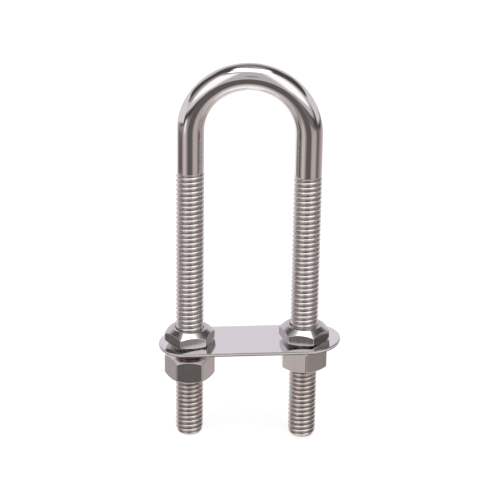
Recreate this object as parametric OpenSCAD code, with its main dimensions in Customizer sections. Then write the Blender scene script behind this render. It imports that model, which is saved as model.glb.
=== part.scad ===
// Pad eye: a U-bolt whose two threaded legs pass through a rounded plate,
// with one nut above and one nut below the plate on each leg.
// Millimetres. Z = 0 is the deck line, the plate's underside midway between the legs.
// X runs from leg to leg, Y through the eye and Z up towards the bend.
// The threads are drawn as plain cylinders: full size on the free ends below the nuts,
// and slimmer above, where the nuts run.

/* [U-bolt] */
// Distance between the two leg axes
leg_spacing = 32.8; // [32:0.1:36]
// Diameter of the plain rod in the bend
shank_d = 7.6; // [6.8:0.05:7.6]
// Outer diameter of the thread, as drawn on the free ends
thread_d = 7.94; // [7.9:0.01:7.98]
// Diameter drawn for the thread above the free ends, where the nuts run
run_d = 7.6; // [7.4:0.01:7.6]
// Height of the bend's centre above the deck line
bend_z = 64.5; // [60:0.05:90]
// Height at which the thread ends, above the deck line
thread_top_z = 52; // [48:0.5:56]
// Depth at which the free ends start, below the deck line
free_depth = 12; // [11.5:0.5:16]
// Depth of the left leg's tip below the deck line
tip_depth_left = 29.35; // [24:0.05:40]
// Depth of the right leg's tip below the deck line
tip_depth_right = 28.7; // [24:0.05:40]
// Diameter of the flat at each leg tip
tip_d = 6; // [5:0.1:7]

/* [Plate] */
// Overall length of the plate
plate_l = 52.2; // [50:0.1:58]
// Width of the plate
plate_w = 18; // [16:0.1:22]
// Thickness of the plate
plate_t = 1; // [0.8:0.05:1.1]
// Diameter of the two leg holes
plate_hole_d = 10; // [9.8:0.1:10.6]
// How far the loose plate has slipped towards the right leg
plate_shift = 0.8; // [0:0.05:0.8]
// Tilt of the loose plate, right side up, in degrees
plate_tilt = 3.8; // [3.6:0.05:3.85]

/* [Nuts] */
// Width across the flats of all four nuts
nut_af = 12.7; // [12:0.1:13]
// Diameter of the bore of all four nuts
nut_bore_d = 8.04; // [8.02:0.01:8.1]
// Height of a lower nut
lower_nut_h = 6.75; // [6:0.05:6.8]
// Height of an upper nut
upper_nut_h = 4.1; // [4:0.05:5.2]

/* [Where the nuts stand] */
// Height of the upper left nut's underside
upper_left_z = 0.4; // [0.4:0.01:1]
// Height of the upper right nut's underside
upper_right_z = 2.58; // [2.58:0.01:3]
// Height of the lower left nut's underside
lower_left_z = -10.8; // [-11:0.05:-8]
// Height of the lower right nut's underside
lower_right_z = -6.15; // [-8:0.05:-6.15]
// Turn of the upper left nut about its leg, in degrees
upper_left_turn = 13.4; // [0:0.1:60]
// Turn of the upper right nut about its leg, in degrees
upper_right_turn = -6.6; // [-60:0.1:60]
// Turn of the lower left nut about its leg, in degrees
lower_left_turn = 3.5; // [0:0.1:60]
// Turn of the lower right nut about its leg, in degrees
lower_right_turn = 37.6; // [0:0.1:60]

/* [Hidden] */
$fn = 96;
leg_x = leg_spacing / 2;
// Length over which the thread fades into the plain rod
runout_h = 1;
// Height of the bevel at each leg tip
tip_h = 1.4;
// Radius over the corners of a nut's hexagon
corner_r = nut_af / 2 / cos(30);
// How far a nut's turned profile reaches past its corners
past = 0.4;
// Depth and widening of the bevel at a bore's mouth
mouth_h = 0.35;
mouth_w = 0.35;
// Slope of the bevel on a lower nut's end faces, and the radius of the flat ring left there
lower_bevel = 30;
lower_ring_r = 6.05;
// The upper nut's top is a cone down to its corners, its foot a slighter bevel
cone_top_r = 5;
cone_h = 1.63;
foot_h = 0.57;
foot_ring_r = 6.3;

// Half a ring of plain rod over the two legs
module bend() {
    translate([0, 0, bend_z]) rotate([90, 0, 0])
        rotate_extrude(angle = 180) translate([leg_x, 0]) circle(d = shank_d);
}

// One leg, stacked from its bevelled tip to the foot of the bend
module leg(tip_depth) {
    translate([0, 0, -tip_depth])
        cylinder(d1 = tip_d, d2 = thread_d, h = tip_h);
    translate([0, 0, tip_h - tip_depth])
        cylinder(d = thread_d, h = tip_depth - tip_h - free_depth);
    translate([0, 0, -free_depth])
        cylinder(d = run_d, h = free_depth + thread_top_z);
    translate([0, 0, thread_top_z])
        cylinder(d1 = run_d, d2 = shank_d, h = runout_h);
    translate([0, 0, thread_top_z + runout_h])
        cylinder(d = shank_d, h = bend_z - thread_top_z - runout_h);
}

module u_bolt() {
    color("silver") union() {
        bend();
        translate([-leg_x, 0, 0]) leg(tip_depth_left);
        translate([leg_x, 0, 0]) leg(tip_depth_right);
    }
}

// Flat outline of the plate with both leg holes
module plate_outline() {
    end_x = (plate_l - plate_w) / 2;
    difference() {
        union() {
            square([2 * end_x, plate_w], center = true);
            for (side = [-1, 1]) translate([side * end_x, 0]) circle(d = plate_w);
        }
        for (side = [-1, 1]) translate([side * leg_x, 0]) circle(d = plate_hole_d);
    }
}

module plate() {
    color("lightgrey") rotate([0, -plate_tilt, 0]) translate([plate_shift, 0, 0])
        linear_extrude(plate_t) plate_outline();
}

// A hexagon cut by a turned profile, with a bore and a bevel at its lower mouth
module nut(h, turn, profile) {
    difference() {
        intersection() {
            rotate([0, 0, turn]) cylinder(r = corner_r, h = h, $fn = 6);
            rotate_extrude() polygon(profile);
        }
        translate([0, 0, -1]) cylinder(d = nut_bore_d, h = h + 2);
        cylinder(r1 = nut_bore_d / 2 + mouth_w, r2 = nut_bore_d / 2, h = mouth_h);
    }
}

// Plain hexagon nut, bevelled alike on both end faces
module lower_nut(turn) {
    outer_r = corner_r + past;
    bevel_h = (outer_r - lower_ring_r) * tan(lower_bevel);
    difference() {
        nut(lower_nut_h, turn, [
            [0, 0], [lower_ring_r, 0], [outer_r, bevel_h],
            [outer_r, lower_nut_h - bevel_h], [lower_ring_r, lower_nut_h], [0, lower_nut_h]
        ]);
        translate([0, 0, lower_nut_h - mouth_h])
            cylinder(r1 = nut_bore_d / 2, r2 = nut_bore_d / 2 + mouth_w, h = mouth_h);
    }
}

// Thin nut whose top is turned to a cone
module upper_nut(turn) {
    cone_slope = cone_h / (corner_r - cone_top_r);
    outer_r = corner_r + past;
    shoulder_z = upper_nut_h - cone_h - past * cone_slope;
    nut(upper_nut_h, turn, [
        [0, 0], [foot_ring_r, 0], [outer_r, foot_h], [outer_r, shoulder_z],
        [cone_top_r, upper_nut_h], [0, upper_nut_h]
    ]);
}

module upper_nut_left() {
    color("gainsboro") translate([-leg_x, 0, upper_left_z]) upper_nut(upper_left_turn);
}

module upper_nut_right() {
    color("gainsboro") translate([leg_x, 0, upper_right_z]) upper_nut(upper_right_turn);
}

module lower_nut_left() {
    color("darkgrey") translate([-leg_x, 0, lower_left_z]) lower_nut(lower_left_turn);
}

module lower_nut_right() {
    color("darkgrey") translate([leg_x, 0, lower_right_z]) lower_nut(lower_right_turn);
}

u_bolt();
plate();
upper_nut_left();
upper_nut_right();
lower_nut_left();
lower_nut_right();
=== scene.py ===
"""Looks of the pad eye: a polished rod with threads formed by rolling, a sheet plate and four hexagon
nuts.
"""

import math

import bmesh
import bpy
from mathutils import Matrix, Vector


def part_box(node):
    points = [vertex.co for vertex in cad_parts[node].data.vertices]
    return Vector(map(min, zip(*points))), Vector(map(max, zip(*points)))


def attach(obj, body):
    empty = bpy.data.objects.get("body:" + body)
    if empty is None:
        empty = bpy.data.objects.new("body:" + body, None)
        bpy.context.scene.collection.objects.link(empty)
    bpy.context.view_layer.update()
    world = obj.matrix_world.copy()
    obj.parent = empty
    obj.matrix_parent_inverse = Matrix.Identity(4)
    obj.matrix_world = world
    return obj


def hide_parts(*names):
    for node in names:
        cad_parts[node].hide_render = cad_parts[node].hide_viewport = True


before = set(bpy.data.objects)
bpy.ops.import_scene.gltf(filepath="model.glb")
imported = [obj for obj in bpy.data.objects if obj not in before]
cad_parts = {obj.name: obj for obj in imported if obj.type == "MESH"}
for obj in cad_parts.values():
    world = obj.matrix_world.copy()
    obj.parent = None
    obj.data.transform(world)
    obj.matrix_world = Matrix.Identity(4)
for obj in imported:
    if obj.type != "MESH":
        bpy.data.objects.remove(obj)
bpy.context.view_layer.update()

MM = 0.001
TAU = 2 * math.pi

# The rod, from its CAD node. CREST_R is the radius over the thread, SHANK_R that of the plain rod
ROD_LOW, ROD_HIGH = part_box("u_bolt")
CREST_R = (ROD_HIGH.y - ROD_LOW.y) / 2
SHANK_R = CREST_R - 0.17 * MM
LEG_X = ROD_HIGH.x - CREST_R
BEND_Z = ROD_HIGH.z - LEG_X - SHANK_R

# 5/16-18 UNC thread: a pitch of 1/18 inch, and flanks at about 60 degrees. Over its last
# THREAD_FADE, up to THREAD_END_Z, it runs out into the plain rod
PITCH = 25.4 / 18 * MM
ROOT_R = 3.2 * MM
THREAD_END_Z = 52.9 * MM
THREAD_FADE = 0.7 * MM
# The free ends: the radius of the end face, how far up the rounding goes, and how much shorter
# the right leg is
TIP_R = 2.75 * MM
TIP_ROUND = 2.3 * MM
TIP_STEP = 0.65 * MM
# One pitch of the thread: how far along it, and how high between root and crest
THREAD_PROFILE = (
    (0.0, 0.0), (0.07, 0.04), (0.17, 0.33), (0.28, 0.70), (0.38, 0.95),
    (0.5, 1.0), (0.62, 0.95), (0.72, 0.70), (0.83, 0.33), (0.93, 0.04),
)
COLUMNS = 64
# Each leg: its side, the height of its tip, and where its thread starts as a share of a turn
LEGS = ((-1, ROD_LOW.z, 0.21), (1, ROD_LOW.z + TIP_STEP, 0.44))

NUT_FLATS = 12.7 * MM
BORE_R = 4.02 * MM
# Painted shade goes on the thread just above the lower nut that stands clear of the plate, in the gap
# under the plate
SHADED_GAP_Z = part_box("lower_nut_left")[1].z

PLATE_T = 1.0 * MM
PLATE_L = 52.2 * MM
PLATE_W = 18 * MM
PLATE_HOLE_R = 5 * MM
PLATE_EDGE = 0.16 * MM
PLATE_SHIFT = 0.8 * MM
PLATE_TILT = 3.8


# ---------------------------------------------------------------- mesh helpers

def new_piece(name, bm, smooth=True):
    """A mesh object from bm, with its faces shaded smooth unless smooth is False."""
    mesh = bpy.data.meshes.new(name)
    bm.to_mesh(mesh)
    bm.free()
    piece = bpy.data.objects.new(name, mesh)
    bpy.context.scene.collection.objects.link(piece)
    if smooth:
        mesh.shade_smooth()
    return piece


def weighted_normals(piece):
    """Keeps the flats flat while the rounded edges between them shade smoothly."""
    modifier = piece.modifiers.new("weighted", "WEIGHTED_NORMAL")
    modifier.mode = "FACE_AREA"
    modifier.weight = 80


def smoothstep(low, high, value):
    t = min(max((value - low) / (high - low), 0.0), 1.0)
    return t * t * (3 - 2 * t)


def stitch(bm, first, second):
    """Faces between two closed rings of vertices."""
    count = len(first)
    for i in range(count):
        j = (i + 1) % count
        bm.faces.new((first[i], first[j], second[j], second[i]))


# ---------------------------------------------------------------- rod

def tip_limit(height):
    """The rod's largest radius at that height over its tip, where the free end is rounded off."""
    t = min(max(height / TIP_ROUND, 0.0), 1.0)
    full_r = CREST_R + 0.01 * MM
    return TIP_R + (full_r - TIP_R) * math.sqrt(1 - (1 - t) ** 2)


def shank_radius(z):
    """The plain rod is a little thinner round the bend, where it was stretched."""
    stretched = smoothstep(BEND_Z - 4 * MM, BEND_Z + LEG_X, z)
    return SHANK_R + 0.06 * MM - 0.08 * MM * stretched


def thread_radius(z, height, tip_z):
    """The threaded leg's radius at z, for that height between the thread's root and its crest."""
    if z <= tip_z:
        return TIP_R
    plain = shank_radius(THREAD_END_Z)
    if z >= THREAD_END_Z:
        return plain
    full = ROOT_R + (CREST_R - ROOT_R) * height
    fade = smoothstep(THREAD_END_Z, THREAD_END_Z - THREAD_FADE, z)
    return min(plain + (full - plain) * fade, tip_limit(z - tip_z))


def thread_leg(bm, x, tip_z, turn):
    """One threaded leg on a grid that follows the helix, which starts turn of a turn round."""
    per_pitch = len(THREAD_PROFILE)
    turns = math.ceil((THREAD_END_Z - tip_z) / PITCH) + 2
    start_z = THREAD_END_Z - (turns - 1) * PITCH
    columns = []
    for i in range(COLUMNS):
        angle = TAU * i / COLUMNS
        column = []
        for m in range((turns + 1) * per_pitch):
            along, height = THREAD_PROFILE[m % per_pitch]
            z = start_z + PITCH * (m // per_pitch + along + i / COLUMNS - 1 - turn)
            r = thread_radius(z, height, tip_z)
            z = min(max(z, tip_z), THREAD_END_Z)
            column.append(bm.verts.new((x + r * math.cos(angle), r * math.sin(angle), z)))
        columns.append(column)
    for i, here in enumerate(columns):
        # The last column meets the first one a pitch further on
        there = columns[(i + 1) % COLUMNS]
        shift = per_pitch if i == COLUMNS - 1 else 0
        for m in range(len(here) - 1 - shift):
            bm.faces.new((here[m], there[m + shift], there[m + 1 + shift], here[m + 1]))


def ring_at(bm, centre, across, radius):
    """A ring round the rod's centreline. across is its in-plane radial direction."""
    side = Vector((0, 1, 0))
    return [
        bm.verts.new(centre + radius * (math.cos(a) * across + math.sin(a) * side))
        for a in (TAU * i / COLUMNS for i in range(COLUMNS))
    ]


def plain_path():
    """Stations along the plain rod, as (centre, direction across it in the bend's plane, radius)."""
    shank_steps, bend_steps = 8, 96
    heights = [THREAD_END_Z + (BEND_Z - THREAD_END_Z) * k / shank_steps for k in range(shank_steps)]
    path = [(Vector((-LEG_X, 0, z)), Vector((1, 0, 0)), shank_radius(z)) for z in heights]
    for k in range(bend_steps + 1):
        a = math.pi * k / bend_steps
        z = BEND_Z + LEG_X * math.sin(a)
        path.append((
            Vector((-LEG_X * math.cos(a), 0, z)),
            Vector((math.cos(a), 0, -math.sin(a))),
            shank_radius(z),
        ))
    path += [(Vector((LEG_X, 0, z)), Vector((-1, 0, 0)), shank_radius(z)) for z in reversed(heights)]
    return path


def end_face(bm, x, tip_z):
    """The end of a leg, cut by shearing, slightly dished."""
    rings = []
    for r, dish in ((TIP_R, 0.0), (1.9 * MM, 0.06 * MM), (0.9 * MM, 0.1 * MM)):
        rings.append([
            bm.verts.new((x + r * math.cos(a), r * math.sin(a), tip_z + dish))
            for a in (TAU * i / COLUMNS for i in range(COLUMNS))
        ])
    for first, second in zip(rings, rings[1:]):
        stitch(bm, first, second)
    bm.faces.new(rings[-1])


def rod_mesh():
    """The whole rod as one closed mesh: leg, shank, bend, shank, leg."""
    bm = bmesh.new()
    for side, tip_z, turn in LEGS:
        thread_leg(bm, side * LEG_X, tip_z, turn)
    rings = [ring_at(bm, *station) for station in plain_path()]
    for first, second in zip(rings, rings[1:]):
        stitch(bm, first, second)
    for side, tip_z, _ in LEGS:
        end_face(bm, side * LEG_X, tip_z)
    bmesh.ops.remove_doubles(bm, verts=bm.verts, dist=0.004 * MM)
    bmesh.ops.dissolve_degenerate(bm, edges=bm.edges, dist=0.001 * MM)
    bmesh.ops.recalc_face_normals(bm, faces=bm.faces)
    thread_top = THREAD_END_Z - 0.1 * MM
    for face in bm.faces:
        face.material_index = 1 if face.calc_center_median().z < thread_top else 0
    return bm


def build_rod(plain_material, thread_material):
    piece = new_piece("u_bolt_rod", rod_mesh())
    piece.data.materials.append(plain_material)
    piece.data.materials.append(thread_material)
    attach(piece, "u_bolt")
    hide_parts("u_bolt")


# ---------------------------------------------------------------- nuts

def rounded_section(points, radii, steps):
    """A closed outline of (r, z) points with each corner rounded by its own radius."""
    out = []
    count = len(points)
    for k in range(count):
        here = Vector(points[k])
        before = (Vector(points[k - 1]) - here).normalized()
        after = (Vector(points[(k + 1) % count]) - here).normalized()
        half = math.acos(max(-1.0, min(1.0, before.dot(after)))) / 2
        reach = radii[k] / math.tan(half)
        centre = here + (before + after).normalized() * (radii[k] / math.sin(half))
        start = here + before * reach - centre
        end = here + after * reach - centre
        for s in range(steps + 1):
            t = s / steps
            out.append(centre + (start * (1 - t) + end * t).normalized() * radii[k])
    return out


def hexagon_outline(turn, corner_round, flat_steps=10, corner_steps=5):
    """Points round a hexagon with rounded corners, whose first corner is turn degrees round."""
    corner_at = (NUT_FLATS / 2 - corner_round) / math.cos(math.pi / 6)
    points = []
    for k in range(6):
        direction = math.radians(turn + 60 * k)
        centre = Vector((math.cos(direction), math.sin(direction))) * corner_at
        for s in range(corner_steps + 1):
            a = direction + math.radians(-30 + 60 * s / corner_steps)
            points.append(centre + corner_round * Vector((math.cos(a), math.sin(a))))
        following = math.radians(turn + 60 * (k + 1))
        next_centre = Vector((math.cos(following), math.sin(following))) * corner_at
        a = direction + math.radians(30)
        normal = corner_round * Vector((math.cos(a), math.sin(a)))
        for s in range(1, flat_steps):
            points.append((centre + normal).lerp(next_centre + normal, s / flat_steps))
    return points


def nut_mesh(turn, section, radii, corner_round):
    """A nut on the z axis. section(distance) gives its outline at that distance of the hexagon."""
    bm = bmesh.new()
    columns = []
    for point in hexagon_outline(turn, corner_round):
        direction = point.normalized()
        outline = rounded_section(section(point.length), radii, 3)
        columns.append([bm.verts.new((direction.x * r, direction.y * r, z)) for r, z in outline])
    rows = len(columns[0])
    for i, here in enumerate(columns):
        there = columns[(i + 1) % len(columns)]
        for m in range(rows):
            n = (m + 1) % rows
            bm.faces.new((here[m], there[m], there[n], here[n]))
    bmesh.ops.recalc_face_normals(bm, faces=bm.faces)
    return bm


def lower_section(h):
    """The outline of a nut of height h with a 30 degree chamfer at both ends."""
    ring_r, mouth = 6.05 * MM, 0.35 * MM
    slope = math.tan(math.radians(30))

    def section(distance):
        drop = (distance - ring_r) * slope
        return [
            (BORE_R, mouth), (BORE_R + mouth, 0), (ring_r, 0), (distance, drop),
            (distance, h - drop), (ring_r, h), (BORE_R + mouth, h), (BORE_R, h - mouth),
        ]
    return section


def upper_section(h):
    """The outline of a nut of height h with a low chamfer below and a turned cone on top."""
    foot_r, top_r, mouth, top_mouth = 6.3 * MM, 5 * MM, 0.35 * MM, 0.2 * MM
    foot_slope, cone_slope = 0.4, 0.7

    def section(distance):
        rise = (distance - foot_r) * foot_slope
        drop = (distance - top_r) * cone_slope
        return [
            (BORE_R, mouth), (BORE_R + mouth, 0), (foot_r, 0), (distance, rise),
            (distance, h - drop), (top_r, h), (BORE_R + top_mouth, h), (BORE_R, h - top_mouth),
        ]
    return section


def build_nut(name, node, turn, section, radii, corner_round, material):
    """A nut on its leg, as high as its CAD node and turned as it is there."""
    low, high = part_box(node)
    height = high.z - low.z
    bm = nut_mesh(turn, section(height), radii, corner_round)
    piece = new_piece(name, bm)
    piece.location = (LEG_X if low.x > 0 else -LEG_X, 0, low.z)
    weighted_normals(piece)
    piece.data.materials.append(material)
    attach(piece, node)
    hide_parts(node)


# ---------------------------------------------------------------- plate

def circle_points(cx, radius, start, end, steps):
    """Points of an arc round (cx, 0), from start to end in degrees."""
    return [
        (cx + radius * math.cos(math.radians(start + (end - start) * s / steps)),
         radius * math.sin(math.radians(start + (end - start) * s / steps)))
        for s in range(steps + 1)
    ]


def plate_mesh():
    """The sheet plate: flat faces, rounded edges, and two holes with softened rims."""
    curve = bpy.data.curves.new("plate_outline", "CURVE")
    curve.dimensions = "2D"
    curve.fill_mode = "BOTH"
    end_x = (PLATE_L - PLATE_W) / 2
    outline = circle_points(end_x, PLATE_W / 2 - PLATE_EDGE, -90, 90, 48)
    outline += circle_points(-end_x, PLATE_W / 2 - PLATE_EDGE, 90, 270, 48)
    loops = [outline]
    for side in (-1, 1):
        loops.append(circle_points(side * LEG_X, PLATE_HOLE_R + PLATE_EDGE, 0, 360, 72)[:-1])
    for points in loops:
        spline = curve.splines.new("POLY")
        spline.points.add(len(points) - 1)
        for target, (x, y) in zip(spline.points, points):
            target.co = (x, y, 0, 1)
        spline.use_cyclic_u = True
    curve.extrude = PLATE_T / 2 - PLATE_EDGE
    curve.bevel_depth = PLATE_EDGE
    curve.bevel_resolution = 3
    holder = bpy.data.objects.new("plate_outline", curve)
    bpy.context.scene.collection.objects.link(holder)
    depsgraph = bpy.context.evaluated_depsgraph_get()
    mesh = bpy.data.meshes.new_from_object(holder.evaluated_get(depsgraph))
    bpy.data.objects.remove(holder)
    bm = bmesh.new()
    bm.from_mesh(mesh)
    bpy.data.meshes.remove(mesh)
    bmesh.ops.remove_doubles(bm, verts=bm.verts, dist=0.002 * MM)
    bmesh.ops.recalc_face_normals(bm, faces=bm.faces)
    return bm


def build_plate(material):
    """The plate where it lies across the legs: tilted, and slipped to the right."""
    piece = new_piece("plate_sheet", plate_mesh())
    place = Matrix.Rotation(math.radians(-PLATE_TILT), 4, "Y")
    place = place @ Matrix.Translation((PLATE_SHIFT, 0, PLATE_T / 2))
    piece.matrix_world = place
    weighted_normals(piece)
    piece.data.materials.append(material)
    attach(piece, "plate")
    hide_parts("plate")


# ---------------------------------------------------------------- materials

class Graph:
    """Short calls for building a node tree."""

    def __init__(self, tree):
        self.tree = tree

    def add(self, kind, **settings):
        node = self.tree.nodes.new(kind)
        for key, value in settings.items():
            setattr(node, key, value)
        return node

    def link(self, source, target):
        self.tree.links.new(source, target)

    def math(self, operation, first, second=0.0):
        node = self.add("ShaderNodeMath", operation=operation)
        for socket, value in zip(node.inputs, (first, second)):
            if isinstance(value, (int, float)):
                socket.default_value = value
            else:
                self.link(value, socket)
        return node.outputs[0]

    def remap(self, value, from_low, from_high, to_low, to_high, **settings):
        node = self.add("ShaderNodeMapRange", **settings)
        for name, number in (("From Min", from_low), ("From Max", from_high),
                             ("To Min", to_low), ("To Max", to_high)):
            node.inputs[name].default_value = number
        self.link(value, node.inputs["Value"])
        return node.outputs["Result"]

    def band(self, value, low, high, soft):
        """1 between low and high, falling to 0 over soft outside them."""
        above = self.remap(value, low - soft, low, 0, 1)
        below = self.remap(value, high, high + soft, 1, 0)
        return self.math("MULTIPLY", above, below)

    def blend(self, factor, first, second):
        node = self.add("ShaderNodeMix", data_type="RGBA")
        self.link(factor, node.inputs["Factor"])
        for socket, value in ((node.inputs["A"], first), (node.inputs["B"], second)):
            if isinstance(value, tuple):
                socket.default_value = (*value, 1)
            else:
                self.link(value, socket)
        return node.outputs["Result"]


class Steel(Graph):
    """A metal's node tree, textured in the piece's own coordinates."""

    def __init__(self, name):
        self.material = bpy.data.materials.new(name)
        self.material.use_nodes = True
        super().__init__(self.material.node_tree)
        self.shader = self.tree.nodes["Principled BSDF"]
        self.shader.inputs["Metallic"].default_value = 1.0
        self.place = self.add("ShaderNodeTexCoord").outputs["Object"]

    def coordinates(self):
        split = self.add("ShaderNodeSeparateXYZ")
        self.link(self.place, split.inputs[0])
        return split.outputs["X"], split.outputs["Y"], split.outputs["Z"]

    def noise(self, scale, detail=3.0, roughness=0.5, stretch=(1, 1, 1)):
        mapping = self.add("ShaderNodeMapping")
        mapping.inputs["Scale"].default_value = stretch
        self.link(self.place, mapping.inputs["Vector"])
        node = self.add("ShaderNodeTexNoise")
        node.inputs["Scale"].default_value = scale
        node.inputs["Detail"].default_value = detail
        node.inputs["Roughness"].default_value = roughness
        self.link(mapping.outputs["Vector"], node.inputs["Vector"])
        return node.outputs["Fac"]

    def finish(self, colour, roughness, height, strength, distance):
        """Sets colour and roughness, and a bump of that strength and distance from height."""
        bump = self.add("ShaderNodeBump")
        bump.inputs["Strength"].default_value = strength
        bump.inputs["Distance"].default_value = distance
        self.link(height, bump.inputs["Height"])
        self.link(colour, self.shader.inputs["Base Color"])
        self.link(roughness, self.shader.inputs["Roughness"])
        self.link(bump.outputs["Normal"], self.shader.inputs["Normal"])
        return self.material


def polished_steel():
    """The rod's bend and shanks, buffed nearly to a mirror."""
    n = Steel("polished_steel")
    colour = n.blend(n.noise(180, 2), (0.70, 0.68, 0.67), (0.74, 0.72, 0.715))
    rough = n.remap(n.noise(900, 4, 0.6), 0.35, 0.75, 0.045, 0.085)
    return n.finish(colour, rough, n.noise(260, 2), 0.08, 0.1 * MM)


def thread_steel():
    """Threads formed by rolling: bright crests, and roots darker and duller the deeper they lie. A band
    of painted shade darkens the thread just above the lower nut.
    """
    n = Steel("thread_steel")
    x, y, z = n.coordinates()
    off_axis = n.math("SUBTRACT", n.math("ABSOLUTE", x), LEG_X)
    squared = n.math("ADD", n.math("MULTIPLY", off_axis, off_axis), n.math("MULTIPLY", y, y))
    height = n.remap(n.math("SQRT", squared), ROOT_R, CREST_R, 0, 1)
    grime = n.noise(1400, 3)
    depth = n.math("MULTIPLY", n.remap(height, 0.0, 0.75, 1, 0), n.remap(grime, 0.3, 0.7, 0.5, 1))
    # The free ends below the plate are browner than the thread above it
    below = n.remap(z, -3 * MM, 1 * MM, 1, 0)
    crests = n.blend(below, (0.80, 0.77, 0.76), (0.70, 0.655, 0.635))
    roots = n.blend(below, (0.41, 0.345, 0.31), (0.31, 0.235, 0.19))
    # Painted shade: a dark brown band on the thread in the gap between the lower nut and the plate
    gap_shade = n.band(z, SHADED_GAP_Z - 0.3 * MM, SHADED_GAP_Z + 1.3 * MM, 0.4 * MM)
    colour = n.blend(gap_shade, n.blend(depth, crests, roots), (0.31, 0.24, 0.20))
    rough = n.math("ADD", n.remap(grime, 0.3, 0.7, 0.2, 0.28), n.math("MULTIPLY", depth, 0.1))
    return n.finish(colour, rough, n.noise(2200, 3), 0.12, 0.08 * MM)


def plate_steel():
    """Sheet steel from cold rolling, nearly a mirror. Its rim, cut by shearing, carries painted light: a
    dark line of painted shade along its top edge, a matt band painted bright as a highlight, and below,
    where the edge tore, a dark band of painted shade.
    """
    n = Steel("plate_steel")
    height = n.coordinates()[2]
    # Painted light on the rim: painted shade along its top edge, a painted highlight band, and painted
    # shade lower down
    rim_top_shade = n.band(height, 0.32 * MM, 0.46 * MM, 0.02 * MM)
    rim_highlight_band = n.band(height, -0.16 * MM, 0.28 * MM, 0.03 * MM)
    rim_low_shade = n.band(height, -0.47 * MM, -0.2 * MM, 0.03 * MM)
    colour = n.blend(n.noise(120, 2), (0.80, 0.785, 0.805), (0.84, 0.825, 0.845))
    colour = n.blend(rim_top_shade, colour, (0.25, 0.23, 0.235))
    colour = n.blend(rim_highlight_band, colour, (0.97, 0.94, 0.95))
    colour = n.blend(rim_low_shade, colour, (0.26, 0.235, 0.235))
    # Faint rolling lines along the plate's length
    rolling = n.noise(700, 4, 0.6, (0.06, 1, 1))
    rough = n.math("ADD", n.remap(rolling, 0.3, 0.7, 0.07, 0.13), n.math("MULTIPLY", rim_highlight_band, 0.6))
    return n.finish(colour, rough, n.noise(150, 2), 0.1, 0.1 * MM)


def nut_steel():
    """Nuts: satin faces with fine upright forming marks, and edges painted brighter, partly as wear and
    partly as a painted highlight.
    """
    n = Steel("nut_steel")
    # Painted highlight along the nuts' edges, standing in part for worn bright corners
    edges = n.remap(n.add("ShaderNodeNewGeometry").outputs["Pointiness"], 0.53, 0.58, 0, 1)
    colour = n.blend(n.noise(350, 3), (0.64, 0.62, 0.605), (0.72, 0.70, 0.69))
    colour = n.blend(edges, colour, (0.95, 0.93, 0.92))
    grain = n.noise(1500, 4, 0.6, (1, 1, 0.25))
    rough = n.math("ADD", n.remap(grain, 0.3, 0.7, 0.16, 0.26), n.math("MULTIPLY", edges, 0.25))
    return n.finish(colour, rough, grain, 0.15, 0.06 * MM)


# ---------------------------------------------------------------- studio

class Studio(Graph):
    """The light from all round, built up from panels that lie over each other."""

    def __init__(self, tree, rgb):
        super().__init__(tree)
        split = self.add("ShaderNodeSeparateXYZ")
        self.link(self.add("ShaderNodeTexCoord").outputs["Generated"], split.inputs[0])
        degrees = 180 / math.pi
        towards_viewer = self.math("MULTIPLY", split.outputs["Y"], -1)
        azimuth = self.math("ARCTAN2", split.outputs["X"], towards_viewer)
        self.azimuth = self.math("MULTIPLY", azimuth, degrees)
        self.elevation = self.math("MULTIPLY", self.math("ARCSINE", split.outputs["Z"]), degrees)
        base = self.add("ShaderNodeRGB")
        base.outputs[0].default_value = (*rgb, 1)
        self.colour = base.outputs[0]

    def panel(self, az0, az1, el0, el1, soft, rgb, strength=1.0):
        """Lays a panel between two azimuths and two elevations, with edges soft degrees wide."""
        inside = self.math(
            "MINIMUM", self.math("SUBTRACT", self.azimuth, az0), self.math("SUBTRACT", az1, self.azimuth))
        inside = self.math("MINIMUM", inside, self.math("SUBTRACT", self.elevation, el0))
        inside = self.math("MINIMUM", inside, self.math("SUBTRACT", el1, self.elevation))
        cover = self.remap(inside, -soft, soft, 0, 1, interpolation_type="SMOOTHSTEP")
        self.colour = self.blend(cover, self.colour, tuple(strength * c for c in rgb))


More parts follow.
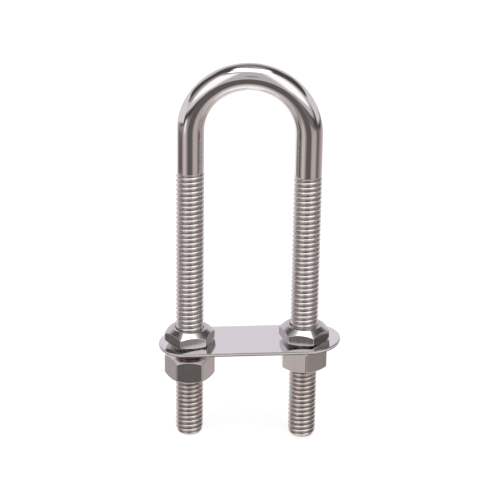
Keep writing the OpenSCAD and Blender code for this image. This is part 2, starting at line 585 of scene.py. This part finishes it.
def studio_world():
    """Soft boxes, pale panels and dark gaps, as directions seen from the object.

    Azimuth is 0 towards the viewer and grows to the right. Both angles are in degrees.
    """
    world = bpy.data.worlds.new("studio")
    bpy.context.scene.world = world
    world.use_nodes = True
    world.node_tree.nodes.clear()
    white, lavender, grey = (1, 1, 1), (0.93, 0.87, 0.92), (0.5, 0.48, 0.49)
    dark, dim, taupe = (0.088, 0.08, 0.075), (0.18, 0.16, 0.155), (0.41, 0.365, 0.355)
    studio = Studio(world.node_tree, dark)
    panel = studio.panel
    # The table: taupe far off, paler below, and white straight below and behind
    panel(-200, 200, -100, -13, 2, taupe)
    panel(-200, 200, -100, -42, 5, taupe, 1.65)
    panel(-200, 200, -100, -64, 12, white, 0.98)
    panel(-115, 105, -100, -66, 9, white, 1.2)
    panel(-200, -124, -62, -12, 7, white, 1.1)
    panel(142, 200, -62, -12, 8, lavender, 0.98)
    # Dark gaps beside the table, paler patches on it, and the dark round the camera
    panel(-108, -68, -38, -18, 6, dim, 0.75)
    panel(-57, -32, -31, -15, 5, taupe, 1.75)
    panel(27, 61, -44, -14, 6, taupe, 1.42)
    panel(69, 95, -25, -11, 5, dim)
    panel(119, 152, -36, -12, 8, taupe, 1.5)
    panel(-20, 21, -46, -4, 8, dim, 0.8)
    panel(-51, -38, -19, -10, 2, white, 1.1)
    panel(11, 52, -12, -5, 3, dim, 1.25)
    # Pale sweep to both sides, rising behind
    panel(-200, -66, -10.5, 10.5, 1.5, lavender)
    panel(-200, -98, -12, 13.5, 1.5, lavender)
    panel(-200, -128, -12, 36, 9, lavender, 0.86)
    panel(86, 200, -6, 22.5, 3, lavender, 0.9)
    panel(148, 200, -12, 34, 9, lavender, 0.84)
    panel(-200, -150, 42, 76, 7, grey, 0.55)
    panel(157, 200, 42, 76, 7, grey, 0.5)
    # Soft boxes: left and right of the camera with grey edges, and a long one overhead
    panel(-22, 20, -3, 60, 4, grey, 1.25)
    panel(-84, -20, 10, 57, 10, grey)
    panel(20, 85, 10, 66, 10, grey, 1.5)
    panel(-62, -20, 5, 51, 6, white, 1.38)
    panel(20, 66, 8, 59, 7, white, 1.4)
    panel(-66, -22, -2, 6, 3, (0.95, 0.87, 0.88), 0.92)
    panel(22, 70, -1, 9, 3, (0.95, 0.87, 0.88), 0.72)
    panel(-5, 3, 16, 25, 3, grey, 0.6)
    panel(-126, 124, 69, 100, 4, white, 2.0)
    panel(-68, 66, 60, 100, 3, white, 2.4)
    panel(-200, -128, 66, 100, 8, grey, 0.8)
    panel(130, 200, 66, 100, 8, grey)

    # The camera sees plain white behind the object
    backdrop = studio.add("ShaderNodeMix", data_type="RGBA")
    studio.link(studio.add("ShaderNodeLightPath").outputs["Is Camera Ray"], backdrop.inputs["Factor"])
    studio.link(studio.colour, backdrop.inputs["A"])
    backdrop.inputs["B"].default_value = (1, 1, 1, 1)
    background = studio.add("ShaderNodeBackground")
    studio.link(backdrop.outputs["Result"], background.inputs["Color"])
    output = studio.add("ShaderNodeOutputWorld")
    studio.link(background.outputs[0], output.inputs["Surface"])


def pale_floor():
    """A white floor just under the longer leg, which polished parts don't mirror."""
    bm = bmesh.new()
    bmesh.ops.create_circle(bm, cap_ends=True, segments=96, radius=6.0)
    floor = new_piece("floor", bm, smooth=False)
    floor.location = (0, 0, ROD_LOW.z - 0.02 * MM)
    material = bpy.data.materials.new("pale_floor")
    material.use_nodes = True
    shader = material.node_tree.nodes["Principled BSDF"]
    shader.inputs["Base Color"].default_value = (0.35, 0.35, 0.35, 1)
    shader.inputs["Emission Color"].default_value = (1, 1, 1, 1)
    shader.inputs["Emission Strength"].default_value = 0.82
    shader.inputs["Roughness"].default_value = 0.9
    shader.inputs["Specular IOR Level"].default_value = 0.0
    floor.data.materials.append(material)
    floor.visible_glossy = False


def photo_camera():
    """The camera at the place, angle and lens worked out from the photo."""
    camera = bpy.data.objects.new("camera", bpy.data.cameras.new("camera"))
    bpy.context.scene.collection.objects.link(camera)
    camera.data.lens = 155.3
    camera.data.sensor_width = 36
    azimuth, elevation, roll = math.radians(2.486), math.radians(24.04), math.radians(0.885)
    forward = Vector((
        -math.sin(azimuth) * math.cos(elevation),
        math.cos(azimuth) * math.cos(elevation),
        -math.sin(elevation),
    ))
    right = forward.cross(Vector((0, 0, 1))).normalized()
    up = right.cross(forward)
    turned_right = right * math.cos(roll) + up * math.sin(roll)
    turned_up = up * math.cos(roll) - right * math.sin(roll)
    spot = Vector((24.713, -556.009, 277.400)) * MM
    axes = Matrix((turned_right, turned_up, -forward)).transposed().to_4x4()
    camera.matrix_world = Matrix.Translation(spot) @ axes
    camera.data.clip_start = 0.01
    camera.data.clip_end = 20
    bpy.context.scene.camera = camera


photo_camera()
studio_world()
pale_floor()

build_rod(polished_steel(), thread_steel())
build_plate(plate_steel())
nut_material = nut_steel()
# How far each corner of a nut's section is rounded, from the lower bore round to the upper one
LOWER_RADII = [r * MM for r in (0.1, 0.1, 0.2, 0.2, 0.2, 0.2, 0.1, 0.1)]
UPPER_RADII = [r * MM for r in (0.1, 0.1, 0.1, 0.1, 0.15, 0.15, 0.06, 0.06)]
UPPER_CORNER, LOWER_CORNER = 0.4 * MM, 0.5 * MM
for side, turn in (("left", 13.4), ("right", -6.6)):
    build_nut("nut_upper_" + side, "upper_nut_" + side, turn, upper_section, UPPER_RADII,
              UPPER_CORNER, nut_material)
for side, turn in (("left", 3.5), ("right", 37.6)):
    build_nut("nut_lower_" + side, "lower_nut_" + side, turn, lower_section, LOWER_RADII,
              LOWER_CORNER, nut_material)

bpy.context.scene.view_settings.view_transform = "Standard"
